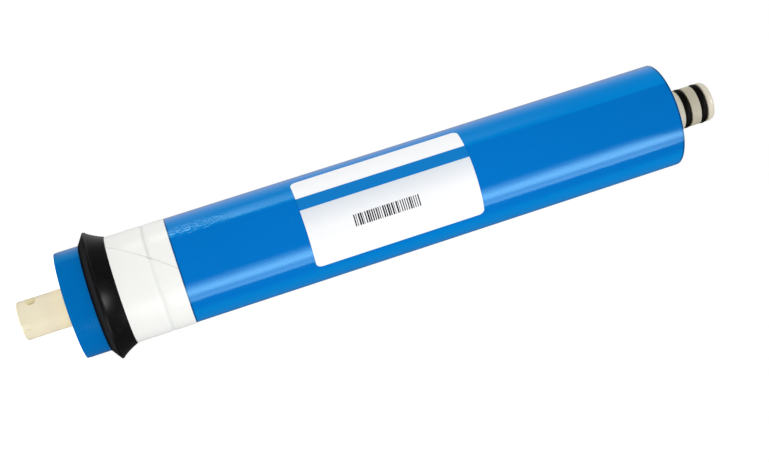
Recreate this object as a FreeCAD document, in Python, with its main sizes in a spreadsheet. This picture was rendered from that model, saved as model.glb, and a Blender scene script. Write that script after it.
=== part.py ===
# A spiral-wound reverse osmosis element for a household water unit, in millimetres.
# It stands on the bare tube of its feed end: +Z runs along the axis to the product end,
# and -Y faces the middle of the label.
import FreeCAD, Part
import Sketcher
import math
import os
import re

doc = FreeCAD.newDocument("ro_membrane_element")

# Driving dimensions
SIZES = [
    ("feed_stub", 19.9, "bare tube below the wound body"),
    ("body_length", 257.3, "wound body, face to face"),
    ("product_stub", 21.2, "bare tube above the wound body"),
    ("tube_outer", 16.7, "outside diameter of the tube"),
    ("feed_outer", 16.0, "outside diameter of the stub at its feed end"),
    ("tube_bore", 8.6, "bore that collects the product water"),
    ("mouth_chamfer", 0.6, "chamfer at the mouths of the tube"),
    ("nose_length", 1.5, "lead-in of the tube's product end, along the axis"),
    ("nose_drop", 0.7, "lead-in, across"),
    ("heel_chamfer", 0.4, "chamfer round the tube's feed end"),
    ("socket_bore", 12.0, "blind socket in the feed end"),
    ("socket_depth", 15.0, "depth of that socket"),
    ("plug_wall", 3.0, "wall that closes the tube at the feed end"),
    ("pull_hole", 4.4, "hole for drawing the element out of its housing"),
    ("pull_height", 5.9, "centre of the pull hole above the feed end"),
    ("pull_turn", 50.0, "pull hole, in degrees round from the label's middle"),
    ("gate_width", 2.8, "cut-off moulding gate at the feed end, width"),
    ("gate_height", 3.2, "cut-off moulding gate, height"),
    ("gate_depth", 0.5, "cut-off moulding gate, depth"),
    ("gate_turn", 28.0, "moulding gate, in degrees the other way round"),
    ("weep_hole", 2.4, "holes that let product water into the tube"),
    ("weep_count", 3, "how many of those holes cross the tube"),
    ("ring_section", 3.0, "thickness of an O-ring's cord"),
    ("ring_stand", 0.15, "how far an O-ring stands out of the tube"),
    ("ring_play", 0.1, "room beside an O-ring in its groove, each side"),
    ("ring_flats", 8, "flats that stand for the round of an O-ring's cord"),
    ("first_ring", 9.25, "first O-ring's middle from the body's face"),
    ("ring_spacing", 7.3, "distance between the two O-rings"),
    ("turns", 8, "turns of the wound leaf"),
    ("chords", 15, "flats that stand for one round turn"),
    ("climb_chords", 1, "flats over which each turn climbs on the last"),
    ("wind_start", 100.0, "where the winding starts, in degrees"),
    ("carrier_thick", 0.32, "permeate carrier cloth"),
    ("membrane_thick", 0.17, "membrane sheet"),
    ("spacer_thick", 0.86, "feed spacer net"),
    ("layer_gap", 0.02, "room between layers that lie on each other"),
    ("end_glue", 24.0, "width of the glued margin at each end of the leaf"),
    ("film_thick", 0.56, "wrapping film, a few turns thick"),
    ("film_joint", 35.5, "where the two films meet, from the feed face"),
    ("joint_gap", 1.2, "gap between the two films"),
    ("tape_thick", 0.13, "white tape"),
    ("tape_end", 45.0, "end of the white tape, from the feed face"),
    ("seal_start", 10.4, "feed-side foot of the brine seal, from the feed face"),
    ("seal_end", 20.5, "end of the seal's bare flank, where the tape starts"),
    ("seal_lip", 13.2, "edge of the seal's lip, from the feed face"),
    ("lip_rise", 4.5, "height of the lip above the film"),
    ("lip_land", 0.25, "narrow land on the lip's edge"),
    ("flank_round", 11.0, "hollow round of the seal's flank"),
    ("foot_thick", 0.4, "thickness of the seal's two feet"),
    ("flank_flats", 2, "flats that stand for the hollow of the flank"),
    ("label_start", 96.8, "label's lower edge, from the feed face"),
    ("label_length", 71.5, "label along the axis"),
    ("label_height", 41.0, "label round the body"),
    ("label_thick", 0.16, "label and its glue"),
    ("label_round", 2.5, "rounding of the label's corners"),
]

sheet = doc.addObject("Spreadsheet::Sheet", "Sizes")
for row, (alias, amount, note) in enumerate(SIZES, start=1):
    sheet.set(f"A{row}", note)
    sheet.set(f"B{row}", str(amount))
    sheet.setAlias(f"B{row}", alias)
doc.recompute()
ALIASES = {alias for alias, amount, note in SIZES}


def bound(formula):
    """The formula with each size's name pointed at its cell of the sheet."""
    return re.sub(r"[a-z_]+", lambda word: "Sizes." + word[0] if word[0] in ALIASES else word[0], formula)


def number(formula):
    """What a formula of sizes comes to."""
    amount = sheet.evalExpression(bound(formula))
    return float(getattr(amount, "Value", amount))


# Radii and heights that several pieces share
TUBE = "(tube_outer / 2)"
STUB = "(feed_outer / 2)"
PRODUCT_FACE = "(feed_stub + body_length)"
TIP = f"({PRODUCT_FACE} + product_stub)"
PITCH = "(carrier_thick + 2 * membrane_thick + spacer_thick + 4 * layer_gap)"
CORE = f"(({TUBE} + layer_gap) / cos(180 / chords))"
FILM_INSIDE = f"({CORE} + turns * {PITCH} + layer_gap)"
FILM = f"({FILM_INSIDE} + film_thick)"
ON_FILM = f"({FILM} + layer_gap)"


def origin_plane(body, role):
    """One of the body's own three base planes."""
    return next(feature for feature in body.Origin.OriginFeatures if feature.Role == role)


def new_body(name, height="0"):
    """A body whose own zero lies at the given height."""
    body = doc.addObject("PartDesign::Body", name)
    body.Label = name
    body.setExpression("Placement.Base.z", bound(height))
    return body


def attached_sketch(body, name, role):
    sketch = body.newObject("Sketcher::SketchObject", name)
    sketch.AttachmentSupport = (origin_plane(body, role), [""])
    sketch.MapMode = "FlatFace"
    return sketch


def tie(sketch, kind, elements, formula):
    """A dimension of the sketch that follows a formula of sizes."""
    index = sketch.addConstraint(Sketcher.Constraint(kind, *elements, number(formula)))
    sketch.setExpression(f"Constraints[{index}]", bound(formula))


def outline(body, name, role, corners):
    """A closed outline of straight sides. Each corner is two formulas, across and up."""
    sketch = attached_sketch(body, name, role)
    points = [FreeCAD.Vector(number(across), number(up), 0) for across, up in corners]
    for start, end in zip(points, points[1:] + points[:1]):
        sketch.addGeometry(Part.LineSegment(start, end), False)
    for side, (across, up) in enumerate(corners):
        before = (side - 1) % len(corners)
        sketch.addConstraint(Sketcher.Constraint("Coincident", before, 2, side, 1))
        tie(sketch, "DistanceX", (-1, 1, side, 1), across)
        tie(sketch, "DistanceY", (-1, 1, side, 1), up)
    return sketch


def turned(body, sketch, degrees="360"):
    """The outline turned about the axis of the element."""
    revolution = body.newObject("PartDesign::Revolution", body.Name + "_turned")
    revolution.Profile = sketch
    revolution.ReferenceAxis = (sketch, ["V_Axis"])
    revolution.Midplane = degrees != "360"
    revolution.setExpression("Angle", bound(degrees))
    doc.recompute()
    return revolution


def edges_at(feature, wanted):
    """Names of the feature's edges that the test picks."""
    return [f"Edge{i}" for i, edge in enumerate(feature.Shape.Edges, start=1) if wanted(edge)]


def round_edge(radius, height):
    """A test for the full circle of that radius at that height."""
    def wanted(edge):
        curve = edge.Curve
        return (isinstance(curve, Part.Circle) and abs(curve.Radius - number(radius)) < 1e-4
                and abs(curve.Center.z - number(height)) < 1e-4)
    return wanted


def ring_heights():
    """Heights of the two O-rings' middles."""
    first = f"({PRODUCT_FACE} + first_ring)"
    return [first, f"({first} + ring_spacing)"]


def cut(body, name, sketch, depth=None):
    """A pocket to the given depth, or through both walls of the tube."""
    pocket = body.newObject("PartDesign::Pocket", name)
    pocket.Profile = sketch
    if depth is None:
        pocket.Type = "ThroughAll"
        pocket.Midplane = True
    else:
        pocket.setExpression("Length", bound(depth))
    doc.recompute()
    if pocket.Shape.Volume >= pocket.BaseFeature.Shape.Volume:
        raise RuntimeError(f"{name} cuts nothing")
    return pocket


def round_hole(sketch, diameter, height):
    """A circle on the sketch's upright axis, at the given height."""
    middle = FreeCAD.Vector(0, number(height), 0)
    sketch.addGeometry(Part.Circle(middle, FreeCAD.Vector(0, 0, 1), number(diameter) / 2), False)
    sketch.addConstraint(Sketcher.Constraint("PointOnObject", 0, 3, -2))
    tie(sketch, "DistanceY", (-1, 1, 0, 3), height)
    tie(sketch, "Diameter", (0,), diameter)


def turn_sketch(sketch, degrees, outwards="0"):
    """Turns the sketch's plane about the tube's axis, and moves it out by a radius."""
    sketch.AttachmentOffset = FreeCAD.Placement(FreeCAD.Vector(), FreeCAD.Rotation(FreeCAD.Vector(0, 1, 0), 1))
    sketch.setExpression("AttachmentOffset.Rotation.Angle", bound(degrees))
    sketch.setExpression("AttachmentOffset.Base.x", bound(f"{outwards} * sin({degrees})"))
    sketch.setExpression("AttachmentOffset.Base.z", bound(f"{outwards} * cos({degrees})"))


def product_tube():
    """Moulded tube: closed near its feed end, with two O-ring grooves at its product end."""
    body = new_body("product_tube")
    floor = f"({TUBE} - ring_section + ring_stand)"
    half_groove = "(ring_section / 2 + ring_play)"
    plug_top = "(socket_depth + plug_wall)"
    corners = [("0", "socket_depth"), ("socket_bore / 2", "socket_depth"), ("socket_bore / 2", "0"),
               (STUB, "0"), (STUB, "feed_stub"), (TUBE, "feed_stub")]
    for ring in ring_heights():
        lower = f"{ring} - {half_groove}"
        upper = f"{ring} + {half_groove}"
        corners += [(TUBE, lower), (floor, lower), (floor, upper), (TUBE, upper)]
    # The lead-in falls off as a parabola does, so half its length takes a quarter of its drop
    lead_in = [(TUBE, f"{TIP} - nose_length"), (f"{TUBE} - nose_drop / 4", f"{TIP} - nose_length / 2"),
               (f"{TUBE} - nose_drop", TIP)]
    corners += lead_in + [("tube_bore / 2", TIP), ("tube_bore / 2", plug_top), ("0", plug_top)]
    last = turned(body, outline(body, "tube_section", "XZ_Plane", corners))

    rims = [("product_mouth", "tube_bore / 2", TIP, "mouth_chamfer"),
            ("socket_mouth", "socket_bore / 2", "0", "mouth_chamfer"), ("heel", STUB, "0", "heel_chamfer")]
    for name, radius, height, size in rims:
        chamfer = body.newObject("PartDesign::Chamfer", name)
        chamfer.Base = (last, edges_at(last, round_edge(radius, height)))
        chamfer.setExpression("Size", bound(size))
        doc.recompute()
        last = chamfer

    pull = attached_sketch(body, "pull_hole_circle", "XZ_Plane")
    turn_sketch(pull, "(-pull_turn)")
    round_hole(pull, "pull_hole", "pull_height")
    cut(body, "pull_hole", pull)

    sides = [("-gate_width / 2", "0"), ("gate_width / 2", "0"), ("gate_width / 2", "gate_height"),
             ("-gate_width / 2", "gate_height")]
    gate = outline(body, "gate_outline", "XZ_Plane", sides)
    turn_sketch(gate, "gate_turn", STUB)
    cut(body, "gate", gate, "gate_depth")

    # Cross holes share out the length between the leaf's two glued margins
    weep = attached_sketch(body, "weep_hole_circle", "XZ_Plane")
    pitch = "((body_length - 2 * end_glue) / weep_count)"
    round_hole(weep, "weep_hole", f"feed_stub + end_glue + {pitch} / 2")
    first_weep = cut(body, "weep_hole", weep)
    row = body.newObject("PartDesign::LinearPattern", "weep_holes")
    row.Originals = [first_weep]
    row.Direction = (weep, ["V_Axis"])
    row.setExpression("Length", bound(f"{pitch} * (weep_count - 1)"))
    row.setExpression("Occurrences", bound("weep_count"))
    body.Tip = row


def o_ring(name, height):
    """Rubber ring stretched into its groove, a little proud of the tube. One flat of its
    many-sided section lies on the groove's floor."""
    body = new_body(name, height)
    flats = round(number("ring_flats"))
    middle = f"({TUBE} + ring_stand + layer_gap - ring_section / 2)"
    corner_reach = "(ring_section / 2 / cos(180 / ring_flats))"
    corners = []
    for corner in range(flats):
        angle = f"(360 * {corner + 0.5} / ring_flats)"
        corners.append((f"{middle} + {corner_reach} * cos({angle})", f"{corner_reach} * sin({angle})"))
    turned(body, outline(body, name + "_section", "XZ_Plane", corners))


# The wound leaf
def wind_point(lift, place):
    """A point of the winding: lift is its height in the turn's stack of layers, and place
    counts flats from the start. A turn is round until it climbs over the start of the last."""
    chords = round(number("chords"))
    if place != int(place):
        near = wind_point(lift, math.floor(place))
        return near + (wind_point(lift, math.ceil(place)) - near) * (place - math.floor(place))
    turn, step = divmod(int(place), chords)
    climb_chords = number("climb_chords")
    climb = max(0, step - (chords - climb_chords)) / climb_chords
    radius = number(CORE) + number(PITCH) * (turn + climb) + lift
    angle = math.radians(number("wind_start") + 360 * place / chords)
    return FreeCAD.Vector(radius * math.cos(angle), radius * math.sin(angle), 0)


def wound_side(lift, first, last):
    """One side of a wound layer, from one place to the other."""
    between = range(math.floor(first) + 1, math.ceil(last))
    return [wind_point(lift, place) for place in (first, *between, last)]


def wound_piece(name, sides):
    """A wound layer: its section, as sides run there and back, drawn out along the body."""
    section = doc.addObject("Part::Feature", name + "_section")
    points = [point for side in sides for point in side]
    section.Shape = Part.Face(Part.makePolygon(points + points[:1]))
    piece = doc.addObject("Part::Extrusion", name)
    piece.Label = name
    piece.Base = section
    piece.DirMode = "Custom"
    piece.Dir = FreeCAD.Vector(0, 0, 1)
    piece.Solid = True
    piece.setExpression("LengthFwd", bound("body_length"))
    piece.setExpression("Placement.Base.z", bound("feed_stub"))


def strip(lift, thickness, first, last):
    return [wound_side(lift, first, last), wound_side(lift + thickness, first, last)[::-1]]


def wound_leaf():
    """One leaf round the tube. From the tube outwards a turn is carrier cloth, membrane, feed
    spacer and membrane again: the membrane is one sheet, folded over the spacer's inner edge.
    The glue that closes the envelope soaks the carrier's margins and adds no thickness."""
    gap = number("layer_gap")
    carrier = number("carrier_thick")
    membrane = number("membrane_thick")
    spacer = number("spacer_thick")
    # The last turn stops short of the climb, so that it stays inside the film
    flats = round(number("turns")) * round(number("chords")) - round(number("climb_chords"))
    first_flat = number(CORE) * 2 * math.pi / number("chords")
    in_fold = membrane / first_flat
    past_fold = (membrane + gap) / first_flat
    inner_sheet = carrier + gap
    net = inner_sheet + membrane + gap
    outer_sheet = net + spacer + gap
    sheet_sides = [
        wound_side(inner_sheet, 0, flats),
        wound_side(inner_sheet + membrane, in_fold, flats)[::-1],
        wound_side(outer_sheet, in_fold, flats),
        wound_side(outer_sheet + membrane, 0, flats)[::-1],
    ]
    wound_piece("permeate_carrier", strip(0, carrier, 0, flats))
    wound_piece("membrane_leaf", sheet_sides)
    wound_piece("feed_spacer", strip(net, spacer, past_fold, flats))


def film(name, start, end):
    """Blue film wound round the leaf between two heights over the feed face."""
    body = new_body(name, "feed_stub")
    corners = [(FILM_INSIDE, start), (FILM, start), (FILM, end), (FILM_INSIDE, end)]
    turned(body, outline(body, name + "_section", "XZ_Plane", corners))


def brine_seal():
    """Rubber lip ring: a straight bevel faces the feed, and a hollow flank falls to a thin
    foot beside the tape."""
    body = new_body("brine_seal", "feed_stub")
    foot = f"({ON_FILM} + foot_thick)"
    lip = f"({FILM} + lip_rise)"
    corners = [(ON_FILM, "seal_start"), (foot, "seal_start"), (lip, "seal_lip - lip_land")]
    # The flank hangs between lip and foot as a round of radius flank_round, hollow side out
    across = f"({lip} - {foot})"
    along = "(seal_end - seal_lip)"
    half_chord = f"(sqrt({across} ^ 2 + {along} ^ 2) / 2)"
    centre_rise = f"(sqrt(flank_round ^ 2 - {half_chord} ^ 2) / (2 * {half_chord}))"
    centre_radius = f"(({lip} + {foot}) / 2 + {along} * {centre_rise})"
    centre_height = f"((seal_lip + seal_end) / 2 + {across} * {centre_rise})"
    lean = f"atan({across} / {along})"
    half_sweep = f"asin({half_chord} / flank_round)"
    flats = round(number("flank_flats"))
    for corner in range(flats + 1):
        angle = f"({lean} + {half_sweep} * (1 - 2 * {corner} / flank_flats))"
        corners.append((f"{centre_radius} - flank_round * cos({angle})",
                        f"{centre_height} - flank_round * sin({angle})"))
    corners.append((ON_FILM, "seal_end"))
    turned(body, outline(body, "seal_section", "XZ_Plane", corners))


def seal_tape():
    """White tape wound from the seal's foot over the joint of the two films."""
    body = new_body("seal_tape", "feed_stub")
    start = "(seal_end + layer_gap)"
    outside = f"({ON_FILM} + tape_thick)"
    corners = [(ON_FILM, start), (outside, start), (outside, "tape_end"), (ON_FILM, "tape_end")]
    turned(body, outline(body, "tape_section", "XZ_Plane", corners))


def label():
    """Printed film label, curved round the body, with rounded corners."""
    body = new_body("label", "feed_stub")
    outer = f"({ON_FILM} + label_thick)"
    end = "(label_start + label_length)"
    corners = [(f"-{outer}", "label_start"), (f"-{ON_FILM}", "label_start"), (f"-{ON_FILM}", end), (f"-{outer}", end)]
    section = outline(body, "label_section", "YZ_Plane", corners)
    solid = turned(body, section, f"label_height / {outer} * 180 / pi")
    thick = number("label_thick")
    corner_edges = edges_at(solid, lambda edge: abs(edge.Length - thick) < 1e-4)
    rounding = body.newObject("PartDesign::Fillet", "label_corners")
    rounding.Base = (solid, corner_edges)
    # A rounding whose sag on the curved body is more than the label's thickness can't be made
    most = f"sqrt(2 * {ON_FILM} * (label_thick - layer_gap))"
    rounding.setExpression("Radius", bound(f"min(label_round; {most})"))


product_tube()
o_ring("o_ring_inboard", ring_heights()[0])
o_ring("o_ring_outboard", ring_heights()[1])
wound_leaf()
film("end_wrap", "0", "film_joint - joint_gap / 2")
film("outer_wrap", "film_joint + joint_gap / 2", "body_length")
brine_seal()
seal_tape()
label()
doc.recompute()

# Every piece is checked before any is written
NODES = ["product_tube", "o_ring_inboard", "o_ring_outboard", "permeate_carrier", "membrane_leaf", "feed_spacer",
         "end_wrap", "outer_wrap", "brine_seal", "seal_tape", "label"]
for item in doc.Objects:
    if "Invalid" in item.State or "Error" in item.State:
        raise RuntimeError(f"{item.Name} failed: {item.State}")
for node in NODES:
    shape = doc.getObject(node).Shape
    if shape.isNull() or not shape.isValid() or not shape.Solids:
        raise RuntimeError(f"{node} has no sound solid")
os.makedirs("parts", exist_ok=True)
for node in NODES:
    shape = doc.getObject(node).Shape
    shape.exportStep(f"parts/{node}.step")
    box = shape.BoundBox
    print(f"{node}: {len(shape.Solids)} solid, {shape.Volume:.0f} mm3, z {box.ZMin:.2f} to {box.ZMax:.2f}, "
          f"reach {box.XMax:.2f} {-box.YMin:.2f}")
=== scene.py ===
import math
from functools import cached_property

import bpy
from mathutils import Matrix, Vector


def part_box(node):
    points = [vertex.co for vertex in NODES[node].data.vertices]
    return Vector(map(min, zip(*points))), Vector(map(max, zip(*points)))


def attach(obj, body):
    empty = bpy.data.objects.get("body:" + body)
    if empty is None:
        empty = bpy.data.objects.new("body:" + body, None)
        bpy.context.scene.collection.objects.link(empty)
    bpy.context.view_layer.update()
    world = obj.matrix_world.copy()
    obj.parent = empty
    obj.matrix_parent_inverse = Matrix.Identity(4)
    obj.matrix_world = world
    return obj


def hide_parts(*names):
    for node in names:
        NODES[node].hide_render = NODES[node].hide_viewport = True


bl_info = {
    "name": "Wound Membrane Element",
    "version": (1, 0, 0),
    "blender": (4, 5, 0),
    "location": "View3D > Sidebar > Element",
    "description": "Finishes a spiral-wound water filter element: film, seal, tape, label and tube",
    "category": "Object",
}

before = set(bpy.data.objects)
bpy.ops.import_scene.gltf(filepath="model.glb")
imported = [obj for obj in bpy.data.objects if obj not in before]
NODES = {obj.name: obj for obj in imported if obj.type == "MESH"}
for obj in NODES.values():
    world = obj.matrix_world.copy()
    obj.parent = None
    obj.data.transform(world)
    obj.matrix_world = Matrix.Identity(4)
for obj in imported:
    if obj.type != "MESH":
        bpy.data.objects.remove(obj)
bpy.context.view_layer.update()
MM = 0.001

# Sizes that the pieces share, read from the solids
FACE_LOW, JOINT_LOW = (corner.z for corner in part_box("end_wrap"))
JOINT_HIGH, FACE_HIGH = (corner.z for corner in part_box("outer_wrap"))
SEAL_LOW, SEAL_HIGH = (corner.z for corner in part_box("brine_seal"))
TAPE_LOW, TAPE_HIGH = (corner.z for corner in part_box("seal_tape"))
SEAL_R, TAPE_R, TUBE_R = (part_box(node)[1].x for node in ("brine_seal", "seal_tape", "product_tube"))
TAPE_THICK = 0.13 * MM
TAPE_MIDDLE = (JOINT_LOW + JOINT_HIGH) / 2
# The same heights as materials reckon them, in millimetres, and one past the element's end
FEED_FACE, PRODUCT_FACE, TAPE_EDGE, DIP_LINE = (z / MM for z in (FACE_LOW, FACE_HIGH, TAPE_HIGH, TAPE_MIDDLE))
BEYOND = 400.0
# The photograph looks at the side that lies this far round from the label's middle
VIEW_TURN = math.radians(-6.8)
BLACK = (0.0, 0.0, 0.0, 1.0)


# --- modelling helpers

def fresh():
    """Back to object mode with nothing selected."""
    if bpy.context.object and bpy.context.object.mode != "OBJECT":
        bpy.ops.object.mode_set(mode="OBJECT")
    bpy.ops.object.select_all(action="DESELECT")


def choose(piece, *others):
    """Selects the piece, and others with it, and makes it the active one."""
    fresh()
    bpy.context.view_layer.objects.active = piece
    for item in (piece, *others):
        item.select_set(True)


def start_profile(name, radius, height):
    """One point to draw a profile from, left in edit mode."""
    fresh()
    bpy.ops.mesh.primitive_plane_add(size=MM, location=(radius, 0, height))
    piece = bpy.context.object
    piece.name = name
    bpy.ops.object.transform_apply(location=True)
    bpy.ops.object.mode_set(mode="EDIT")
    bpy.ops.mesh.select_all(action="SELECT")
    bpy.ops.mesh.merge(type="CENTER")
    return piece


def lathe(name, corners, count):
    """A closed profile of (radius, height) corners turned about the element's axis in count steps."""
    piece = start_profile(name, *corners[0])
    for here, there in zip(corners, corners[1:] + corners[:1]):
        bpy.ops.mesh.extrude_region_move(
            TRANSFORM_OT_translate={"value": (there[0] - here[0], 0, there[1] - here[1])})
    bpy.ops.mesh.select_all(action="SELECT")
    bpy.ops.mesh.remove_doubles(threshold=1e-7)
    bpy.ops.mesh.select_all(action="SELECT")
    bpy.ops.mesh.spin(steps=count, angle=2 * math.pi, center=(0, 0, 0), axis=(0, 0, 1))
    bpy.ops.mesh.select_all(action="SELECT")
    bpy.ops.mesh.remove_doubles(threshold=1e-6)
    bpy.ops.mesh.normals_make_consistent(inside=False)
    bpy.ops.object.mode_set(mode="OBJECT")
    return piece


def soften(piece, width, angle):
    """Rounds the piece's edges that are sharper than the angle with a bevel modifier, and applies it."""
    choose(piece)
    bevel = piece.modifiers.new("edge rounding", "BEVEL")
    bevel.width = width
    bevel.segments = 2
    bevel.limit_method = "ANGLE"
    bevel.angle_limit = math.radians(angle)
    bpy.ops.object.modifier_apply(modifier=bevel.name)


def smooth(piece, angle):
    """Shades the piece smooth, apart from edges sharper than the angle in degrees."""
    choose(piece)
    bpy.ops.object.shade_smooth_by_angle(angle=math.radians(angle))


def arc(centre, radius, start, end, count):
    """Points of a round in the profile's plane, angles in degrees."""
    points = []
    for i in range(count + 1):
        angle = math.radians(start + (end - start) * i / count)
        points.append((centre[0] + radius * math.cos(angle), centre[1] + radius * math.sin(angle)))
    return points


def pick(piece, wanted):
    """In edit mode, selects the points that the test picks."""
    bpy.ops.mesh.select_mode(type="VERT")
    bpy.ops.mesh.select_all(action="DESELECT")
    bpy.ops.object.mode_set(mode="OBJECT")
    for point in piece.data.vertices:
        point.select = bool(wanted(point.co))
    bpy.ops.object.mode_set(mode="EDIT")


def grow_round(share):
    """In edit mode, scales the selected points away from the element's axis."""
    bpy.ops.transform.resize(value=(share, share, 1), center_override=(0, 0, 0))


def keep(piece, slot, material, *nodes):
    """Finishes a piece: its material, its body and the solids that it stands for; its slot is not used."""
    fresh()
    piece.data.name = piece.name
    piece.data.materials.clear()
    piece.data.materials.append(material)
    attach(piece, "root")
    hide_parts(*nodes)


def dress(node, material):
    """Gives a solid that stays in view its finish."""
    for place in NODES[node].material_slots:
        place.material = material


# --- shader helpers

def fill(tree, socket, value):
    """Links an output to the socket, or sets the socket's own value."""
    if isinstance(value, bpy.types.NodeSocket):
        tree.links.new(value, socket)
    else:
        socket.default_value = value


def add_node(tree, kind, settings=None, **values):
    """A shader node with its settings and its sockets filled. A name such as i0 is a socket's number."""
    made = tree.nodes.new(kind)
    for key, value in (settings or {}).items():
        setattr(made, key, value)
    for key, value in values.items():
        numbered = key[0] == "i" and key[1:].isdigit()
        fill(tree, made.inputs[int(key[1:]) if numbered else key.replace("_", " ")], value)
    return made


def reckon(tree, operation, first, second=0.0, third=0.0):
    """A Math node's answer."""
    return add_node(tree, "ShaderNodeMath", {"operation": operation}, i0=first, i1=second, i2=third).outputs[0]


def times(tree, first, second):
    """Two values multiplied."""
    return reckon(tree, "MULTIPLY", first, second)


def ramp(tree, value, low, high, start=0.0, end=1.0):
    """start up to low, end from high on, and a straight run between them."""
    return add_node(tree, "ShaderNodeMapRange", None, Value=value, From_Min=low, From_Max=high,
                    To_Min=start, To_Max=end).outputs[0]


def between(tree, value, low, high, soft):
    """1 inside low to high and 0 outside, over a soft edge."""
    rise, fall = (
        add_node(tree, "ShaderNodeMapRange", {"interpolation_type": "SMOOTHSTEP"},
                 Value=value, From_Min=edge - soft, From_Max=edge + soft).outputs[0]
        for edge in (low, high))
    return reckon(tree, "SUBTRACT", rise, fall)


def wave(tree, value, period):
    """A sine wave of the given period."""
    return reckon(tree, "SINE", times(tree, reckon(tree, "DIVIDE", value, period), 2 * math.pi))


def mix_colour(tree, amount, first, second):
    """The first colour where the amount is 0, the second where it is 1."""
    made = add_node(tree, "ShaderNodeMix", {"data_type": "RGBA"}, i0=amount, i6=first, i7=second)
    return made.outputs[2]


def mix_level(tree, amount, first, second):
    """The first level where the amount is 0, the second where it is 1."""
    return add_node(tree, "ShaderNodeMix", None, i0=amount, i2=first, i3=second).outputs[0]


def noise(tree, vector, scale, detail, **more):
    """A soft noise from 0 to 1."""
    return add_node(tree, "ShaderNodeTexNoise", None, Vector=vector, Scale=scale, Detail=detail,
                    **more).outputs[0]


def stretch(tree, vector, scale):
    """The place scaled by its own share along each axis."""
    return add_node(tree, "ShaderNodeMapping", None, Vector=vector, Scale=scale).outputs[0]


def relief(tree, height, strength, distance, under=None):
    """A bump's normal, on top of another normal where one is given."""
    bump = add_node(tree, "ShaderNodeBump", None, Strength=strength, Distance=distance, Height=height)
    if under is not None:
        tree.links.new(under, bump.inputs["Normal"])
    return bump.outputs[0]


def steps(tree, value, stops):
    """A level that runs through (position, level) stops."""
    made = tree.nodes.new("ShaderNodeFloatCurve")
    curve = made.mapping.curves[0]
    curve.points[0].location = stops[0]
    curve.points[1].location = stops[-1]
    for stop in stops[1:-1]:
        curve.points.new(*stop)
    for point in curve.points:
        point.handle_type = "VECTOR"
    made.mapping.update()
    tree.links.new(value, made.inputs["Value"])
    return made.outputs[0]


def rgba(colour, share=1.0):
    """The colour with full alpha, times one share or one for each channel."""
    shares = share if isinstance(share, tuple) else (share,) * 3
    return (*(level * part for level, part in zip(colour, shares)), 1.0)


def group_once(name, inputs, outputs, build):
    """A node group, built when it is first asked for.

    Its inputs are Place and (name, default) pairs, and build gives the values of its outputs in order.
    """
    if name in bpy.data.node_groups:
        return bpy.data.node_groups[name]
    group = bpy.data.node_groups.new(name, "ShaderNodeTree")
    group.interface.new_socket("Place", in_out="INPUT", socket_type="NodeSocketVector")
    for socket, value in inputs:
        made = group.interface.new_socket(socket, in_out="INPUT", socket_type="NodeSocketFloat")
        made.default_value = value
    for socket in outputs:
        kind = "NodeSocketVector" if socket == "Unrolled" else "NodeSocketFloat"
        group.interface.new_socket(socket, in_out="OUTPUT", socket_type=kind)
    given, result = group.nodes.new("NodeGroupInput").outputs, group.nodes.new("NodeGroupOutput").inputs
    for value, socket in zip(build(group, given), result):
        group.links.new(value, socket)
    return group


def use_group(tree, group, place, **values):
    """The outputs of a node group placed in a material."""
    return add_node(tree, "ShaderNodeGroup", {"node_tree": group}, Place=place, **values).outputs


def round_place():
    """Group: where a point lies on a round body, as turn, arc length, height and radius in millimetres."""
    def build(group, given):
        x, y, z = add_node(group, "ShaderNodeSeparateXYZ", i0=given["Place"]).outputs
        turn = reckon(group, "ARCTAN2", times(group, x, -1.0), times(group, y, -1.0))
        squares = reckon(group, "ADD", reckon(group, "POWER", x, 2.0), reckon(group, "POWER", y, 2.0))
        radius = times(group, reckon(group, "SQRT", squares), 1 / MM)
        around, along = times(group, turn, radius), times(group, z, 1 / MM)
        unrolled = add_node(group, "ShaderNodeCombineXYZ", i0=around, i1=along, i2=radius).outputs[0]
        return turn, around, along, radius, unrolled

    return group_once("place on the round", (), ("Turn", "Around", "Along", "Radius", "Unrolled"), build)


def fine_wear():
    """Group: small scuffs, specks of dust and a slow cloud, each as a mask from 0 to 1."""
    def build(group, given):
        scuff = noise(group, given["Place"], given["Scuff Scale"], 6.0, Roughness=0.7)
        dots = add_node(group, "ShaderNodeTexVoronoi", {"feature": "F1"}, Vector=given["Place"],
                        Scale=given["Speck Scale"]).outputs[0]
        cloud = noise(group, given["Place"], given["Cloud Scale"], 2.0, Roughness=0.5)
        return ramp(group, scuff, 0.58, 0.75), ramp(group, dots, 0.16, 0.08), cloud

    return group_once("fine wear", (("Scuff Scale", 300.0), ("Speck Scale", 1500.0), ("Cloud Scale", 40.0)),
                      ("Scuffs", "Specks", "Cloud"), build)


def moulded_grain():
    """Group: the height of a fine grain."""
    def build(group, given):
        return [noise(group, given["Place"], given["Scale"], 4.0, Roughness=0.6)]

    return group_once("moulded grain", [("Scale", 1000.0)], ["Height"], build)


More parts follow.
